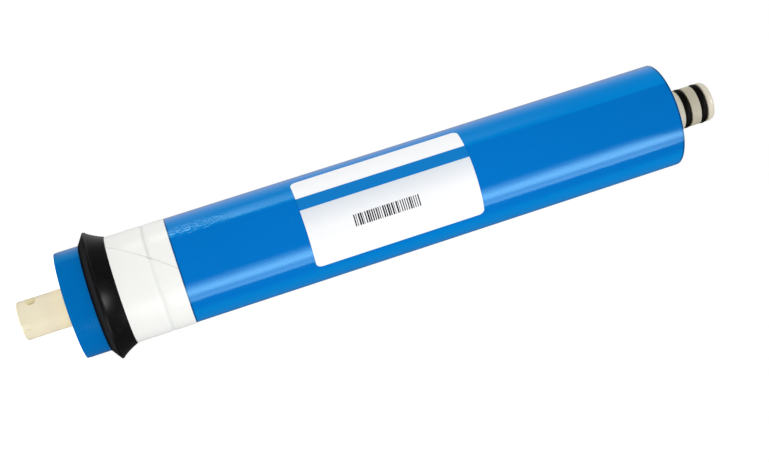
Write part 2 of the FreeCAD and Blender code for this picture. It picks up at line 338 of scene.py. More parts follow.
def film_marks():
    """Group: where the blue film is deeper, where a painted sheen lightens its sides, where its cut edge is
    dark and where painted shade lies beside the tape, and the relief of the net and its wrinkles.

    Upper Side is how far round from the label's middle the painted sheen on the upper side starts, in
    millimetres.
    """
    def build(group, given):
        spot = use_group(group, round_place(), given["Place"])
        along, around, unrolled = spot["Along"], spot["Around"], spot["Unrolled"]
        # It is a little deeper towards the product end
        deeper = ramp(group, along, 190.0, 270.0, 0.0, 0.10)
        # A painted sheen on the upper and lower sides stands in for a soft reflection there; the upper one's
        # lower edge slants along the first part of the body
        slant = ramp(group, along, 60.0, 180.0, reckon(group, "ADD", given["Upper Side"], 1.3),
                     given["Upper Side"])
        past = reckon(group, "SUBTRACT", around, slant)
        upper = times(group, between(group, past, 0.0, 80.0, 0.6), between(group, around, -80.0, 23.5, 3.5))
        lower = times(group, between(group, around, -38.0, -22.0, 2.5),
                      between(group, along, TAPE_EDGE - 5.0, BEYOND, 1.0))
        # The cut edge is dark, and beside the tape a painted shade darkens the film where it meets the tape's
        # step
        cut_edge = between(group, along, PRODUCT_FACE - 0.7, BEYOND, 0.25)
        tape_shade = between(group, along, TAPE_EDGE - 1.0, TAPE_EDGE + 0.55, 0.25)
        # The net under the film shows through as a fine crossed relief, fainter near the product end
        crossed = times(group, wave(group, along, 1.3), wave(group, around, 2.6))
        net = times(group, crossed, ramp(group, along, 215.0, 255.0, 1.0, 0.3))
        # The film lies a little slack all over, and is puckered in one place beside the tape
        slack = noise(group, stretch(group, unrolled, (0.35, 0.045, 0.0)), 1.0, 3.0)
        puckers = noise(group, stretch(group, unrolled, (0.5, 0.14, 0.0)), 1.0, 2.0, Distortion=1.4)
        spread = times(group, between(group, along, 62.0, 86.0, 7.0), between(group, around, 12.0, 16.5, 3.0))
        wrinkles = reckon(group, "MULTIPLY_ADD", puckers, times(group, spread, 2.5), times(group, slack, 0.16))
        return (deeper, reckon(group, "MAXIMUM", lower, upper),
                times(group, reckon(group, "MAXIMUM", cut_edge, tape_shade), 0.7), net, wrinkles)

    return group_once("film marks", [("Upper Side", 10.0)], ("Deeper", "Sides", "Edges", "Net", "Wrinkles"),
                      build)


def leaf_threads():
    """Group: the relief of threads that run along the element, and the gaps between them as a mask."""
    def build(group, given):
        around = use_group(group, round_place(), given["Place"])["Around"]
        threads = wave(group, around, given["Spacing"])
        return threads, ramp(group, threads, -0.5, 0.4)

    return group_once("leaf threads", [("Spacing", 1.0)], ("Threads", "Gaps"), build)


class Finish:
    """A material with one Principled shader, and what its masks are made from."""

    def __init__(self, name, wear=None, **values):
        self.material = bpy.data.materials.new(name)
        self.material.use_nodes = True
        self.tree = self.material.node_tree
        self.shader = self.tree.nodes["Principled BSDF"]
        for key, value in values.items():
            self.shader.inputs[key.replace("_", " ")].default_value = value
        self.place = add_node(self.tree, "ShaderNodeTexCoord").outputs["Object"]
        self.wear = use_group(self.tree, fine_wear(), self.place, **(wear or {}))

    @cached_property
    def spot(self):
        """Where a point of the piece lies on a round body."""
        return use_group(self.tree, round_place(), self.place)

    def feed(self, socket, value):
        """Links a value to the shader's named socket."""
        self.tree.links.new(value, self.shader.inputs[socket])

    def grain(self, scale, strength, distance=0.02 * MM, under=None):
        """Fine moulded grain as a bump, on top of another normal where one is given."""
        fine = use_group(self.tree, moulded_grain(), self.place, Scale=scale)["Height"]
        self.feed("Normal", relief(self.tree, fine, strength, distance, under))


# --- settings

def colour_setting(name, description, default):
    return bpy.props.FloatVectorProperty(name=name, description=description, subtype="COLOR", size=3,
                                         default=default, min=0, max=1)


def length_setting(name, description, default, least=0.0):
    return bpy.props.FloatProperty(name=name, description=description, default=default, min=least,
                                   unit="LENGTH")


def level_setting(name, description, default, least=0.0, most=1000.0):
    return bpy.props.FloatProperty(name=name, description=description, default=default, min=least, max=most)


def count_setting(name, description, default, least, most):
    return bpy.props.IntProperty(name=name, description=description, default=default, min=least, max=most)


class ELEMENT_PG_film(bpy.types.PropertyGroup):
    colour: colour_setting("Film", "Colour of the blue film", (0.0, 0.157, 0.53))
    end_colour: colour_setting("End film", "Colour of the film at the feed end", (0.0, 0.134, 0.425))
    roughness: level_setting("Roughness", "How soft the film's gloss is", 0.09, most=1)
    imprint: level_setting("Net imprint", "How much of the net shows through the film", 0.5, most=1)


class ELEMENT_PG_seal(bpy.types.PropertyGroup):
    colour: colour_setting("Rubber", "Colour of the black rubber", (0.005, 0.005, 0.0055))
    flank: length_setting("Flank round", "Radius of the hollow behind the lip", 30.0 * MM)
    foot: length_setting("Foot", "Thickness of the seal's feet", 0.4 * MM)


class ELEMENT_PG_tape(bpy.types.PropertyGroup):
    colour: colour_setting("Tape", "Colour of the white tape", (0.87, 0.87, 0.83))
    lap: length_setting("Lap", "Step where the tape laps over itself", TAPE_THICK)
    dip: length_setting("Dip", "How far the tape sinks where the two films meet", 0.28 * MM)


class ELEMENT_PG_tube(bpy.types.PropertyGroup):
    colour: colour_setting("Tube", "Colour of the cream plastic", (0.915, 0.84, 0.66))
    ring_colour: colour_setting("O-rings", "Colour of the O-rings", (0.003, 0.0025, 0.002))


class ELEMENT_PG_leaf(bpy.types.PropertyGroup):
    turns: count_setting("Turns", "Turns of the wound leaf", 8, 1, 20)
    steps: count_setting("Steps", "Straight steps in one turn", 60, 12, 96)
    climb: count_setting("Climb", "Steps in which each turn climbs onto the next", 8, 1, 12)
    pitch: length_setting("Pitch", "Thickness of one wound layer of the leaf", 1.625 * MM)
    carrier: colour_setting("Carrier", "Colour of the carrier cloth", (0.78, 0.74, 0.62))
    membrane: colour_setting("Membrane", "Colour of the membrane", (0.86, 0.85, 0.80))
    spacer: colour_setting("Spacer", "Colour of the spacer net", (0.60, 0.63, 0.62))


class ELEMENT_PG_label(bpy.types.PropertyGroup):
    white: colour_setting("White", "Colour of the label's film", (0.82, 0.825, 0.84))
    stripe: colour_setting("Stripe", "Colour of the stripe", (0.0, 0.17, 0.50))
    shade: colour_setting("Shade", "Grey at the top of the lower field", (0.615, 0.66, 0.71))


class ELEMENT_PG_stage(bpy.types.PropertyGroup):
    lens: level_setting("Lens", "Focal length of the camera, in millimetres", 62.73, 10, 300)
    floor: length_setting("Floor", "Radius of the floor", 0.22, 0.1)
    low_light: level_setting("Low softbox", "Power of the softbox below the photograph", 9.8)
    high_light: level_setting("High softbox", "Power of the softbox above it", 2.0)
    gleam: level_setting("Seal light", "Power of the small lamp above the seal", 1.3)
    ambient: level_setting("Ambient", "Level of the white room", 1.265)
    tilt: level_setting("Tilt", "How much more light comes from below the photograph", 0.12)
    behind: level_setting("Behind", "Level that gloss sees behind the element", 1.0)


# --- pieces

def film_finish(name, colour, look, index, upper_side):
    """Blue film: clear gloss of the given index of refraction over the colour, with the film's marks, a painted
    sheen on its sides and painted shade beside the tape.
    """
    film = Finish(name, Roughness=look.roughness, IOR=index, Specular_Tint=(0.36, 0.8, 1.0, 1.0))
    tree = film.tree
    marks = use_group(tree, film_marks(), film.place, Upper_Side=upper_side)
    base = mix_colour(tree, times(tree, film.wear["Cloud"], 0.5), rgba(colour), rgba(colour, 0.86))
    deeper = mix_colour(tree, marks["Deeper"], base, BLACK)
    # Painted sheen: the sides are mixed to a lighter, green-tinted blue
    with_painted_sheen = mix_colour(tree, marks["Sides"], deeper, rgba(colour, (0.0, 1.22, 1.04)))
    # Painted shade beside the tape, and the dark cut edge
    film.feed("Base Color", mix_colour(tree, marks["Edges"], with_painted_sheen, (0.0, 0.03, 0.1, 1.0)))
    imprint = relief(tree, marks["Net"], look.imprint, 0.019 * MM)
    film.feed("Normal", relief(tree, marks["Wrinkles"], 0.5, 0.35 * MM, imprint))
    film.feed("Roughness", reckon(tree, "ADD", times(tree, film.wear["Scuffs"], 0.12), look.roughness))
    return film.material


class ELEMENT_OT_film(bpy.types.Operator):
    """Finish the two blue films, which keep their solids' shape"""
    bl_idname = "element.film"
    bl_label = "Blue film"

    def execute(self, context):
        look = context.scene.element_film
        dress("outer_wrap", film_finish("blue film", look.colour, look, index=1.75, upper_side=9.9))
        dress("end_wrap", film_finish("end film", look.end_colour, look, index=1.28, upper_side=16.0))
        return {"FINISHED"}


def rubber(name, colour, roughness, scuff_scale, gloss):
    """Black rubber: fine grain, a greyish bloom and a few pale specks of dust.

    Also returns its colour and its roughness, for a piece that changes them.
    """
    black = Finish(name, {"Scuff_Scale": scuff_scale, "Speck_Scale": 900.0}, Roughness=roughness, IOR=1.5,
                   Specular_IOR_Level=gloss)
    tree, wear = black.tree, black.wear
    bloom = mix_colour(tree, times(tree, wear["Scuffs"], 0.12), rgba(colour), (0.05, 0.05, 0.052, 1.0))
    dusty = mix_colour(tree, times(tree, wear["Specks"], 0.03), bloom, (0.5, 0.48, 0.44, 1.0))
    uneven = reckon(tree, "ADD", times(tree, wear["Cloud"], 0.2), roughness - 0.1)
    black.feed("Base Color", dusty)
    black.feed("Roughness", uneven)
    black.grain(2500.0, 0.25)
    return black, dusty, uneven


class ELEMENT_OT_seal(bpy.types.Operator):
    """Model the brine seal: a straight bevel to the lip and a hollow flank behind it"""
    bl_idname = "element.seal"
    bl_label = "Brine seal"

    def execute(self, context):
        look = context.scene.element_seal
        inside = TAPE_R - TAPE_THICK
        foot = inside + look.foot
        front, lip_top = SEAL_LOW - 0.5 * MM, SEAL_LOW + 2.65 * MM
        # Behind the lip lies a narrow land, and then the flank, a round with its hollow side out
        land_width, land_drop, edge = 0.8 * MM, 0.5 * MM, 0.2 * MM
        start = (SEAL_R - land_drop, lip_top + land_width)
        rise, run = start[0] - foot, SEAL_HIGH - start[1]
        half = math.hypot(rise, run) / 2
        reach = math.sqrt(look.flank ** 2 - half ** 2) / (2 * half)
        centre = ((start[0] + foot) / 2 + run * reach, (start[1] + SEAL_HIGH) / 2 + rise * reach)
        first, last = (math.degrees(math.atan2(z - centre[1], r - centre[0])) % 360
                       for r, z in (start, (foot, SEAL_HIGH)))
        profile = [(inside, front), (foot - edge, front), (SEAL_R, lip_top - edge), (SEAL_R, lip_top),
                   (start[0] + 0.26 * MM, start[1] - 0.05 * MM),
                   *arc(centre, look.flank, first, last, 12), (inside, SEAL_HIGH)]
        seal = lathe("brine_seal_ring", profile, count=160)
        soften(seal, width=0.09 * MM, angle=25)
        smooth(seal, 35)
        # The mould's gate left a small raised bar across the flank
        fresh()
        angle, slope = math.radians(15.4) + VIEW_TURN, math.radians(-27)
        bar_r, bar_height = 24.05 * MM, SEAL_LOW + 8.0 * MM
        bpy.ops.mesh.primitive_cube_add(size=1)
        bar = bpy.context.object
        bar.scale = (0.22 * MM, 0.35 * MM, 3.2 * MM)
        bar.location = (-bar_r * math.sin(angle), -bar_r * math.cos(angle), bar_height)
        bar.rotation_euler = (Matrix.Rotation(-angle, 3, "Z") @ Matrix.Rotation(slope, 3, "X")).to_euler()
        bpy.ops.object.transform_apply(location=True, rotation=True, scale=True)
        soften(bar, width=0.06 * MM, angle=30)
        choose(seal, bar)
        bpy.ops.object.join()
        # The bevel before the lip is matt, with painted shading: a lighter grey towards the lip, and black by
        # the film where shade falls
        black, dusty, uneven = rubber("seal rubber", look.colour, roughness=0.30, scuff_scale=260.0,
                                      gloss=0.12)
        tree = black.tree
        bevel = between(tree, black.spot["Along"], SEAL_LOW / MM - 2.0, lip_top / MM - 0.3, 0.2)
        painted_shading = times(tree, bevel, between(tree, black.spot["Radius"], 23.7, 27.0, 0.7))
        black.feed("Base Color", mix_colour(tree, painted_shading, dusty, (0.018, 0.018, 0.019, 1.0)))
        black.feed("Roughness", mix_level(tree, bevel, uneven, 0.85))
        keep(seal, "seal_rubber", black.material, "brine_seal")
        return {"FINISHED"}


def tape_section(dip):
    """Profile of the tape, which sinks by the dip where the two films meet."""
    inside, ease = TAPE_R - TAPE_THICK, 1.4 * MM
    outer = [(TAPE_R, TAPE_LOW + (TAPE_MIDDLE - ease - TAPE_LOW) * i / 10) for i in range(10)]
    for i in range(-7, 8):
        fall = dip * 0.5 * (1 + math.cos(math.pi * i / 8))
        outer.append((TAPE_R - fall, TAPE_MIDDLE + i * 1.25 * MM / 8))
    outer += [(TAPE_R, TAPE_MIDDLE + ease + (TAPE_HIGH - TAPE_MIDDLE - ease) * i / 6) for i in range(1, 7)]
    inner = [(inside, TAPE_HIGH), (inside, TAPE_MIDDLE + 1.3 * MM), (inside - dip, TAPE_MIDDLE + 0.5 * MM),
             (inside - dip, TAPE_MIDDLE - 0.5 * MM), (inside, TAPE_MIDDLE - 1.3 * MM), (inside, TAPE_LOW)]
    return outer + inner


def tape_finish(colour, through, normal):
    """Soft white tape with a painted shade line in its dip, and a brownish painted shade line along the lap's
    cut through the point.
    """
    tape = Finish("white tape", {"Cloud_Scale": 120.0}, Roughness=0.5, IOR=1.46, Subsurface_Weight=0.08,
                  Coat_Weight=0.32, Coat_Roughness=0.14, Coat_IOR=1.5)
    tree, along, cloud = tape.tree, tape.spot["Along"], tape.wear["Cloud"]
    grey = mix_colour(tree, times(tree, cloud, 0.22), rgba(colour), rgba(colour, 0.82))
    # Painted shade lies as a soft grey line in the dip, heavier where the tape is a single layer
    wander = reckon(tree, "MULTIPLY_ADD", cloud, 1.2, along)
    across = add_node(tree, "ShaderNodeVectorMath", {"operation": "DOT_PRODUCT"}, i0=tape.place, i1=normal / MM)
    past = reckon(tree, "SUBTRACT", across.outputs["Value"], through.dot(normal) / MM)
    single = between(tree, past, 0.0, 40.0, 1.5)
    dip_shade_mask = between(tree, wander, DIP_LINE + 0.1, DIP_LINE + 1.0, 0.5)
    weight = reckon(tree, "MULTIPLY_ADD", single, 0.24, 0.18)
    with_dip_shade = mix_colour(tree, times(tree, dip_shade_mask, weight), grey, (0.50, 0.50, 0.47, 1.0))
    # Painted shade along the lap's cut end of the tape: a brownish line, darkest where it crosses the dip
    front = ramp(tree, add_node(tree, "ShaderNodeSeparateXYZ", None, i0=tape.place).outputs[1], 0.0, -0.002)
    cut = times(tree, between(tree, past, -0.4, 0.15, 0.22), front)
    knot = between(tree, along, DIP_LINE - 0.8, DIP_LINE + 0.8, 0.7)
    lap_shade_line = times(tree, cut, reckon(tree, "MULTIPLY_ADD", knot, 0.35, 0.3))
    lap_shaded = mix_colour(tree, lap_shade_line, with_dip_shade, (0.42, 0.40, 0.33, 1.0))
    # The blue film shows faintly through the tape's far edge
    rim = times(tree, between(tree, along, TAPE_EDGE - 0.35, TAPE_EDGE + 1.0, 0.25), 0.2)
    tape.feed("Base Color", mix_colour(tree, rim, lap_shaded, (0.5, 0.62, 0.8, 1.0)))
    creases = noise(tree, stretch(tree, tape.spot["Unrolled"], (0.16, 0.5, 0.0)), 1.0, 4.0, Distortion=0.6)
    tape.grain(1800.0, 0.12, under=relief(tree, creases, 0.35, 0.25 * MM))
    return tape.material


class ELEMENT_OT_tape(bpy.types.Operator):
    """Model the white tape, which dips over the films' joint and laps over itself"""
    bl_idname = "element.tape"
    bl_label = "White tape"

    def execute(self, context):
        look = context.scene.element_tape
        tape = lathe("white_tape", tape_section(look.dip), count=192)
        # The lap: a slanting cut, with one more layer of tape on one side of it
        low_turn, high_turn = math.radians(52.6) + VIEW_TURN, math.radians(1.9) + VIEW_TURN
        mid_turn = (low_turn + high_turn) / 2
        outward = Vector((-math.sin(mid_turn), -math.cos(mid_turn), 0))
        sideways = Vector((-math.cos(mid_turn), math.sin(mid_turn), 0))
        swing = 2 * TAPE_R * math.sin((low_turn - high_turn) / 2)
        normal = (sideways * (TAPE_HIGH - TAPE_LOW) + Vector((0, 0, swing))).normalized()
        through = outward * TAPE_R + Vector((0, 0, (TAPE_LOW + TAPE_HIGH) / 2))
        choose(tape)
        bpy.ops.object.mode_set(mode="EDIT")
        step_width = 0.22 * MM
        for shift in (0.0, step_width):
            bpy.ops.mesh.select_all(action="SELECT")
            bpy.ops.mesh.bisect(plane_co=through + normal * shift, plane_no=normal)
        skin = TAPE_R - look.dip - 0.02 * MM
        pick(tape, lambda p: math.hypot(p.x, p.y) > skin and (p - through).dot(normal) < 0.01 * MM)
        grow_round(1 + look.lap / TAPE_R)
        bpy.ops.object.mode_set(mode="OBJECT")
        smooth(tape, 50)
        keep(tape, "tape", tape_finish(look.colour, through, normal), "seal_tape")
        return {"FINISHED"}


def tube_finish(colour):
    """Cream plastic with painted shade at the product end, painted light near the body and at the gate, and
    emission near the body, round the pull hole and at the rim.
    """
    tube = Finish("cream plastic", {"Cloud_Scale": 90.0}, Roughness=0.38, IOR=1.52, Subsurface_Weight=0.2,
                  Subsurface_Radius=(1.0, 0.75, 0.4), Subsurface_Scale=1.5 * MM)
    tree, along, radius = tube.tree, tube.spot["Along"], tube.spot["Radius"]
    warm = mix_colour(tree, tube.wear["Cloud"], rgba(colour), rgba(colour, (0.94, 0.92, 0.84)))
    # Painted shade: the product end is darker grey, its nose less so, and it is lighter again where it leaves
    # the body
    product_end = between(tree, along, PRODUCT_FACE, BEYOND, 0.5)
    painted_shading = mix_colour(tree, product_end, warm, rgba(colour, (0.465, 0.465, 0.455)))
    nose = between(tree, along, PRODUCT_FACE + 18.6, BEYOND, 0.3)
    painted_shading = mix_colour(tree, nose, painted_shading, rgba(colour, (0.635, 0.645, 0.665)))
    lighter_by_face = times(tree, between(tree, along, PRODUCT_FACE, PRODUCT_FACE + 7.2, 0.6), 0.5)
    painted_shading = mix_colour(tree, lighter_by_face, painted_shading, (0.66, 0.64, 0.55, 1.0))
    # Painted light: the feed stub is a little lighter near the body, and so is the cut-off gate
    painted_light_near_body = between(tree, along, FEED_FACE - 5.0, FEED_FACE + 2.0, 5.0)
    gate = times(tree, between(tree, along, -1.0, 9.0, 0.5), between(tree, radius, 5.0, 7.9, 0.08))
    painted_light_share = reckon(tree, "MULTIPLY_ADD", painted_light_near_body, 0.5, times(tree, gate, 0.45))
    with_painted_light = mix_colour(tree, painted_light_share, painted_shading, (1.0, 0.94, 0.76, 1.0))
    dusty = mix_colour(tree, times(tree, tube.wear["Specks"], 0.12), with_painted_light, (0.45, 0.38, 0.25, 1.0))
    tube.feed("Base Color", dusty)
    # Painted light: the stub shines by emission near the body, round the pull hole and at the rim, in place of
    # light through its wall
    hole = times(tree, between(tree, along, 3.0, 8.8, 0.8), between(tree, radius, 5.0, 7.6, 0.15))
    rim = times(tree, between(tree, along, -1.0, 0.35, 0.2), 2.0)
    painted_glow = mix_colour(tree, painted_light_near_body, BLACK, (0.13, 0.08, 0.01, 1.0))
    tube.feed("Emission Color", mix_colour(tree, reckon(tree, "MAXIMUM", hole, rim), painted_glow,
                                           (0.14, 0.13, 0.08, 1.0)))
    tube.shader.inputs["Emission Strength"].default_value = 1.0
    # The product end is turned, which leaves fine rings on it
    turned = times(tree, wave(tree, along, 0.42), product_end)
    tube.grain(900.0, 0.2, 0.04 * MM, relief(tree, turned, 0.3, 0.015 * MM))
    return tube.material


class ELEMENT_OT_tube(bpy.types.Operator):
    """Finish the cream tube and model its two O-rings"""
    bl_idname = "element.tube"
    bl_label = "Tube and O-rings"

    def execute(self, context):
        look = context.scene.element_tube
        dress("product_tube", tube_finish(look.colour))
        black = rubber("ring rubber", look.ring_colour, roughness=0.5, scuff_scale=500.0, gloss=0.08)[0]
        low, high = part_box("o_ring_inboard")
        half, middle, widest = (high.z - low.z) / 2, (low.z + high.z) / 2, high.x
        fresh()
        bpy.ops.mesh.primitive_torus_add(major_radius=widest - half, minor_radius=half,
                                         major_segments=112, minor_segments=32, location=(0, 0, middle))
        ring = bpy.context.object
        ring.name = "rubber_ring_inboard"
        bpy.ops.object.transform_apply(location=True)
        bpy.ops.object.mode_set(mode="EDIT")
        # Stretched in its groove the cord is squashed, so it nearly fills the groove's mouth
        swell, parting_line = 0.04, 1.0015
        for share in (0.55, 0.8):
            inner, outer = widest - half * 0.9, widest - half * 0.02 * share
            pick(ring, lambda p: inner < math.hypot(p.x, p.y) < outer
                 and abs(p.z - middle) > half * share * 0.6)
            grow_round(1 + half * swell / widest)
        # The mould's parting line stands a hair out at the widest part
        pick(ring, lambda p: abs(p.z - middle) < 0.01 * MM and math.hypot(p.x, p.y) > widest - half)
        grow_round(parting_line)
        bpy.ops.object.mode_set(mode="OBJECT")
        smooth(ring, 60)
        # The other ring is a copy with its own mesh
        bpy.ops.object.duplicate()
        copy = bpy.context.object
        copy.name = "rubber_ring_outboard"
        copy.location.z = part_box("o_ring_outboard")[0].z - low.z
        bpy.ops.object.transform_apply(location=True)
        keep(ring, "ring_rubber", black.material, "o_ring_inboard")
        keep(copy, "ring_rubber", black.material, "o_ring_outboard")
        return {"FINISHED"}


def wound_strip(name, inner, thick, look, low, high):
    """A flat strip bent round the tube, which climbs by one layer of the leaf in each turn."""
    sweep, start = 2 * math.pi * look.turns, math.radians(190)
    # Bending shrinks the strip about this radius
    bend_radius = 15 * MM
    turn_length = sweep * bend_radius / look.turns
    climb_length = turn_length * look.climb / look.steps
    round_length = turn_length - climb_length
    fresh()
    bpy.ops.mesh.primitive_plane_add(size=1, rotation=(0, math.pi / 2, 0),
                                     location=(0, bend_radius - inner - thick / 2, (low + high) / 2))
    strip = bpy.context.object
    strip.name = name
    strip.scale = (high - low, thick, 1)
    bpy.ops.object.transform_apply(location=True, rotation=True, scale=True)
    bpy.ops.object.mode_set(mode="EDIT")
    bpy.ops.mesh.select_all(action="SELECT")
    # Each turn runs level and then climbs, and the last one only runs level
    runs = [(round_length, 0, 0), (climb_length, -look.pitch, 0)] * (look.turns - 1) + [(turn_length, 0, 0)]
    for run in runs:
        bpy.ops.mesh.extrude_region_move(TRANSFORM_OT_translate={"value": run})
    for shortest, longest, cuts in ((round_length - MM, 1, look.steps - look.climb - 1),
                                    (climb_length - MM, climb_length + MM, look.climb - 1)):
        bpy.ops.mesh.select_mode(type="EDGE")
        bpy.ops.mesh.select_all(action="DESELECT")
        bpy.ops.object.mode_set(mode="OBJECT")
        for edge in strip.data.edges:
            ends = [strip.data.vertices[i].co.x for i in edge.vertices]
            edge.select = shortest < abs(ends[0] - ends[1]) < longest
        bpy.ops.object.mode_set(mode="EDIT")
        bpy.ops.mesh.subdivide(number_cuts=cuts)
    bpy.ops.object.mode_set(mode="OBJECT")
    bend = strip.modifiers.new("winding", "SIMPLE_DEFORM")
    bend.deform_method = "BEND"
    bend.deform_axis = "Z"
    bend.angle = sweep
    bpy.ops.object.modifier_apply(modifier=bend.name)
    strip.location = (0, -bend_radius, 0)
    bpy.ops.object.transform_apply(location=True)
    strip.rotation_euler = (0, 0, start)
    bpy.ops.object.transform_apply(rotation=True)
    bpy.ops.object.mode_set(mode="EDIT")
    bpy.ops.mesh.select_all(action="SELECT")
    bpy.ops.mesh.normals_make_consistent(inside=False)
    bpy.ops.object.mode_set(mode="OBJECT")
    smooth(strip, 40)
    return strip


def sheet_finish(name, colour, roughness, spacing, gap_share):
    """Cloth, sheet or net of the leaf, with its threads' spacing in millimetres and its gaps' darker share."""
    sheet = Finish(name, {"Cloud_Scale": 150.0, "Speck_Scale": 2200.0}, Roughness=roughness, IOR=1.46)
    tree = sheet.tree
    weave = use_group(tree, leaf_threads(), sheet.place, Spacing=spacing)
    shade = mix_colour(tree, weave["Gaps"], rgba(colour, gap_share), rgba(colour))
    sheet.feed("Base Color", mix_colour(tree, times(tree, sheet.wear["Cloud"], 0.35), shade,
                                        rgba(colour, (0.9, 0.82, 0.66))))
    sheet.grain(2600.0, 0.3, 0.05 * MM, relief(tree, weave["Threads"], 0.5, 0.1 * MM))
    return sheet.material


class ELEMENT_OT_leaf(bpy.types.Operator):
    """Model the wound leaf as smooth spirals: carrier cloth, folded membrane and spacer net"""
    bl_idname = "element.leaf"
    bl_label = "Wound leaf"

    def execute(self, context):
        look = context.scene.element_leaf
        low, high = FACE_LOW + 0.02 * MM, FACE_HIGH - 0.02 * MM
        core = TUBE_R + 0.03 * MM
        # Name, height above the tube, thickness and how far its ends lie back, in millimetres
        carrier, under, over, spacer = (
            wound_strip(name, core + above * MM, thick * MM, look, low + back * MM, high - back * MM)
            for name, above, thick, back in (
                ("carrier_cloth", 0.0, 0.32, 0.1), ("membrane_sheet", 0.34, 0.17, 0.0),
                ("membrane_over", 1.41, 0.17, 0.0), ("spacer_net", 0.53, 0.86, 0.25)))
        choose(under, over)
        bpy.ops.object.join()
        cloth = sheet_finish("carrier cloth", look.carrier, roughness=0.7, spacing=0.45, gap_share=0.6)
        skin = sheet_finish("membrane sheet", look.membrane, roughness=0.45, spacing=5.0, gap_share=0.97)
        net = sheet_finish("spacer net", look.spacer, roughness=0.35, spacing=1.3, gap_share=0.12)
        keep(carrier, "carrier_cloth", cloth, "permeate_carrier")
        keep(under, "membrane_sheet", skin, "membrane_leaf")
        keep(spacer, "spacer_net", net, "feed_spacer")
        return {"FINISHED"}


class ELEMENT_OT_label(bpy.types.Operator):
    """Finish the label with plain fields: a white strip, a blue stripe and a pale panel with bars"""
    bl_idname = "element.label"
    bl_label = "Label"

    def execute(self, context):
        look = context.scene.element_label
        label = Finish("label film", Roughness=0.2, IOR=1.47, Specular_IOR_Level=0.3)
        tree, along = label.tree, label.spot["Along"]
        turn = times(tree, label.spot["Turn"], 180 / math.pi)
        # The fields' edges, in degrees round from the label's middle
        panel_top, stripe_top, edge = 13.0, 27.3, 0.12
        panel = mix_colour(tree, ramp(tree, turn, -12.0, panel_top), rgba(look.white), rgba(look.shade))
        top = mix_colour(tree, between(tree, turn, stripe_top, 90.0, edge), panel, rgba(look.white))
        fields = mix_colour(tree, between(tree, turn, panel_top, stripe_top, edge), top, rgba(look.stripe))
        # Plain bars of uneven width, as on a stock label
        bars_start, bars_end, spacing = 136.0, 163.9, 0.93
        beat = reckon(tree, "DIVIDE", reckon(tree, "SUBTRACT", along, bars_start), spacing)
        width = add_node(tree, "ShaderNodeTexWhiteNoise", {"noise_dimensions": "1D"},
                         W=reckon(tree, "FLOOR", beat)).outputs[0]
        dark = reckon(tree, "LESS_THAN", reckon(tree, "FRACT", beat),
                      reckon(tree, "MULTIPLY_ADD", width, 0.5, 0.28))
        window = times(tree, between(tree, along, bars_start, bars_end, 0.02),
                       between(tree, turn, -20.5, -8.0, 0.1))
        printed = mix_colour(tree, times(tree, dark, window), fields, (0.012, 0.012, 0.014, 1.0))
        label.feed("Base Color", mix_colour(tree, times(tree, label.wear["Cloud"], 0.05), printed, BLACK))
        label.grain(700.0, 0.08)
        dress("label", label.material)
        return {"FINISHED"}


# --- stage

CAMERA_PLACE = Vector((0.07485, -0.54193, 0.07322))
CAMERA_RIGHT = Vector((0.32319, -0.09318, 0.94174))
CAMERA_UP = Vector((-0.93908, -0.15454, 0.30699))
CAMERA_SENSOR = 36
# The lamps and the room are turned with the camera, by this many degrees from the label's middle
CAMERA_TURN = -7.9

# Levels as (position, level) stops: across and along each softbox, and round the room for gloss
LOW_ACROSS = [(0.0, 0.0), (0.04, 0.03), (0.134, 0.14), (0.223, 0.27), (0.31, 0.5), (0.394, 0.78),
              (0.477, 0.93), (0.56, 1.0), (0.644, 0.76), (0.729, 0.4), (0.819, 0.42), (1.0, 0.55)]
LOW_ALONG = [(0.0, 1.0), (1.0, 1.0)]
HIGH_ACROSS = [(0.0, 0.1), (0.4, 0.5), (0.7, 0.9), (1.0, 1.0)]
HIGH_ALONG = [(0.0, 1.0), (0.03, 1.0), (0.06, 0.7), (0.1, 0.5), (0.18, 0.3), (0.3, 0.17), (0.5, 0.07),
              (0.65, 0.045), (0.76, 0.0), (1.0, 0.0)]
ROOM_ROUND = [(0.0, 0.14), (0.03, 0.09), (0.061, 0.07), (0.11, 0.055), (0.166, 0.016), (0.22, 0.0),
              (0.7, 0.0), (0.76, 0.04), (0.784, 0.09), (0.806, 0.17), (0.828, 0.33), (0.85, 0.47),
              (0.8725, 0.6), (0.895, 0.68), (0.922, 0.64), (0.944, 0.5), (0.965, 0.34), (1.0, 0.2)]


def turned(right, up, back):
    """The rotation that gives a camera or a lamp these axes."""
    return Matrix((right, up, back)).transposed().to_euler()


def gloss_light(name, place, back, width, height, power):
    """A rectangular light that only gloss sees, with its back towards the given direction."""
    fresh()
    bpy.ops.object.light_add(type="AREA", location=place)
    lamp = bpy.context.object
    lamp.name = lamp.data.name = name
    lamp.data.shape = "RECTANGLE"
    lamp.data.size, lamp.data.size_y = width, height
    lamp.data.energy = power
    lamp.visible_camera = lamp.visible_diffuse = False
    side = Vector((0, 0, 1)).cross(back).normalized()
    lamp.rotation_euler = turned(side, back.cross(side), back)
    return lamp


def softbox(name, turn, distance, low, high, width, power, across, along, slant=0.0):
    """An upright light for gloss, turned from the camera's side, with a level that changes over it."""
    angle = math.radians(turn + CAMERA_TURN)
    back = Vector((-math.sin(angle), -math.cos(angle), 0))
    lamp = gloss_light(name, back * distance + Vector((0, 0, (low + high) / 2)), back, width, high - low,
                       power)
    lamp.data.use_nodes = True
    tree = lamp.data.node_tree
    u, v = add_node(tree, "ShaderNodeSeparateXYZ", None, i0=add_node(
        tree, "ShaderNodeNewGeometry").outputs["Parametric"]).outputs[:2]
    level = times(tree, steps(tree, u, across), steps(tree, v, along))
    if slant:
        # Near its top the lamp's inner edge slants away
        past = reckon(tree, "MAXIMUM", reckon(tree, "SUBTRACT", v, 0.88), 0.0)
        level = times(tree, level, ramp(tree, reckon(tree, "MULTIPLY_ADD", past, -slant, u), 0.0, 0.12))
    tree.links.new(level, tree.nodes["Emission"].inputs["Strength"])


